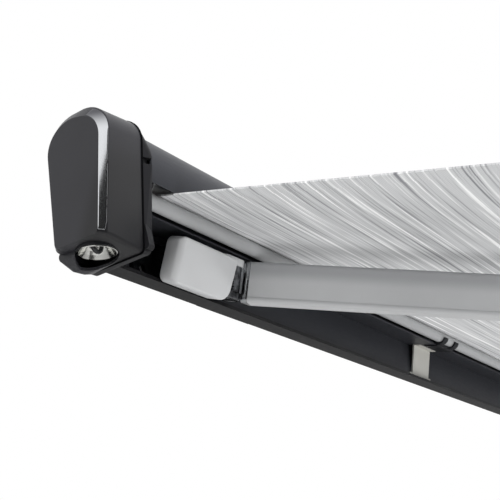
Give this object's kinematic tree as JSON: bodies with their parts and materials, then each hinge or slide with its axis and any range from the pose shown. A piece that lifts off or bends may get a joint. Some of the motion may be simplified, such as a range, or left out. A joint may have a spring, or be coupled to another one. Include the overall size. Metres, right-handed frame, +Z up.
{
  "type": "roll out awning",
  "caption": "Cassette awning with folding arms, cloth roller, lead rail, telescopic legs and a winding eye, shown rolled out.",
  "frame": {"origin": "on the wall face, midway between the two bolt holes of the middle wall bracket", "axes": "+X along the cassette, +Y into the wall, so -Y points out from it, +Z up"},
  "size_m": [3.2288, 2.4836, 0.6791],
  "materials": {
    "anthracite_paint": "satin powder coat",
    "anthracite_cap": "fine grained",
    "anthracite_plate": "fine grained",
    "chrome_trim": "polished",
    "bare_aluminium": "brushed, anodised",
    "arm_paint": "satin powder coat",
    "casting_paint": "satin powder coat on casting",
    "cover_plastic": "light grey, fine grained",
    "clip_plastic": "light grey moulding",
    "black_plastic": "moulded",
    "bush_plastic": "natural acetal",
    "pin_steel": "bright zinc",
    "dark_steel": "black zinc",
    "leg_aluminium": "satin anodised",
    "awning_cloth": "woven, fine grey stripes"
  },
  "bodies": {
    "cassette": {"housing": "anthracite_paint", "guide_bar": "bare_aluminium", "wall_brackets": "dark_steel", "end_plate_left": "anthracite_plate", "end_plate_right": "anthracite_plate", "end_cap_left": "anthracite_cap", "end_cap_right": "anthracite_cap", "trim_strip_left": "chrome_trim", "trim_strip_right": "chrome_trim", "gearbox": "black_plastic", "winding_funnel": "chrome_trim", "roller_bushes": "bush_plastic", "shoulder_bracket_left": "casting_paint", "shoulder_bracket_right": "casting_paint", "shoulder_cover_left": "cover_plastic", "shoulder_cover_right": "cover_plastic", "shoulder_pins": "pin_steel", "shoulder_bolts": "pin_steel", "bar_brackets": "clip_plastic", "bar_forks": "black_plastic", "canopy": "awning_cloth"},
    "roller": {"roller_tube": "bare_aluminium", "roller_plugs": "black_plastic", "fabric_roll": "awning_cloth"},
    "winder": {"winding_eye": "dark_steel"},
    "arm_inner_left": {"upper_arm_left": "arm_paint", "shoulder_knuckle_left": "casting_paint", "elbow_fork_left": "casting_paint", "elbow_pin_left": "pin_steel", "arm_spring_left": "dark_steel"},
    "arm_inner_right": {"upper_arm_right": "arm_paint", "shoulder_knuckle_right": "casting_paint", "elbow_fork_right": "casting_paint", "elbow_pin_right": "pin_steel", "arm_spring_right": "dark_steel"},
    "arm_outer_left": {"forearm_left": "arm_paint", "elbow_knuckle_left": "casting_paint", "wrist_knuckle_left": "casting_paint"},
    "arm_outer_right": {"forearm_right": "arm_paint", "elbow_knuckle_right": "casting_paint", "wrist_knuckle_right": "casting_paint"},
    "front_rail": {"lead_rail": "anthracite_paint", "rail_end_caps": "anthracite_plate", "wrist_brackets": "casting_paint", "wrist_pins": "pin_steel", "keder_rod": "awning_cloth", "leg_pivots": "pin_steel"},
    "leg_left": {"leg_outer_left": "leg_aluminium", "leg_collar_left": "black_plastic"},
    "leg_right": {"leg_outer_right": "leg_aluminium", "leg_collar_right": "black_plastic"},
    "leg_end_left": {"leg_inner_left": "leg_aluminium", "leg_foot_left": "black_plastic"},
    "leg_end_right": {"leg_inner_right": "leg_aluminium", "leg_foot_right": "black_plastic"}
  },
  "joints": [
    {"name": "shoulder_left", "type": "hinge", "parent": "cassette", "child": "arm_inner_left", "pos_m": [-1.34, -0.043, -0.042], "axis": [0, -0.2164, 0.9763], "range_deg": [0, 70.56], "deforming": ["canopy"]},
    {"name": "elbow_left", "type": "hinge", "parent": "arm_inner_left", "child": "arm_outer_left", "pos_m": [-0.91676, -1.24304, -0.30804], "axis": [0, -0.2164, 0.9763], "range_deg": [-141.12, 0]},
    {"name": "wrist_left", "type": "hinge", "parent": "arm_outer_left", "child": "front_rail", "pos_m": [-1.34, -2.44308, -0.57408], "axis": [0, -0.2164, 0.9763], "range_deg": [0, 70.56]},
    {"name": "shoulder_right", "type": "hinge", "parent": "cassette", "child": "arm_inner_right", "pos_m": [1.34, -0.043, -0.042], "axis": [0, -0.2164, 0.9763], "range_deg": [-70.56, 0]},
    {"name": "elbow_right", "type": "hinge", "parent": "arm_inner_right", "child": "arm_outer_right", "pos_m": [0.91676, -1.24304, -0.30804], "axis": [0, -0.2164, 0.9763], "range_deg": [0, 141.12]},
    {"name": "roller_spin", "type": "hinge", "parent": "cassette", "child": "roller", "pos_m": [0, -0.044, 0.028], "axis": [1, 0, 0], "continuous": true},
    {"name": "winder_spin", "type": "hinge", "parent": "cassette", "child": "winder", "pos_m": [-1.587, -0.0516, -0.078], "axis": [0, 0, 1], "continuous": true},
    {"name": "leg_left_swing", "type": "hinge", "parent": "front_rail", "child": "leg_left", "pos_m": [-1.5, -2.46305, -0.57776], "axis": [0, 1, 0], "range_deg": [0, 90]},
    {"name": "leg_right_swing", "type": "hinge", "parent": "front_rail", "child": "leg_right", "pos_m": [1.5, -2.47505, -0.57776], "axis": [0, -1, 0], "range_deg": [0, 90]},
    {"name": "leg_left_slide", "type": "slide", "parent": "leg_left", "child": "leg_end_left", "axis": [1, 0, 0], "range_m": [0, 0.95]},
    {"name": "leg_right_slide", "type": "slide", "parent": "leg_right", "child": "leg_end_right", "axis": [-1, 0, 0], "range_m": [0, 0.95]}
  ],
  "couplings": [
    {"joint": "elbow_left", "follows": "shoulder_left", "ratio": -2},
    {"joint": "wrist_left", "follows": "shoulder_left", "ratio": 1},
    {"joint": "shoulder_right", "follows": "shoulder_left", "ratio": -1},
    {"joint": "elbow_right", "follows": "shoulder_left", "ratio": 2},
    {"joint": "winder_spin", "follows": "roller_spin", "ratio": 6}
  ]
}
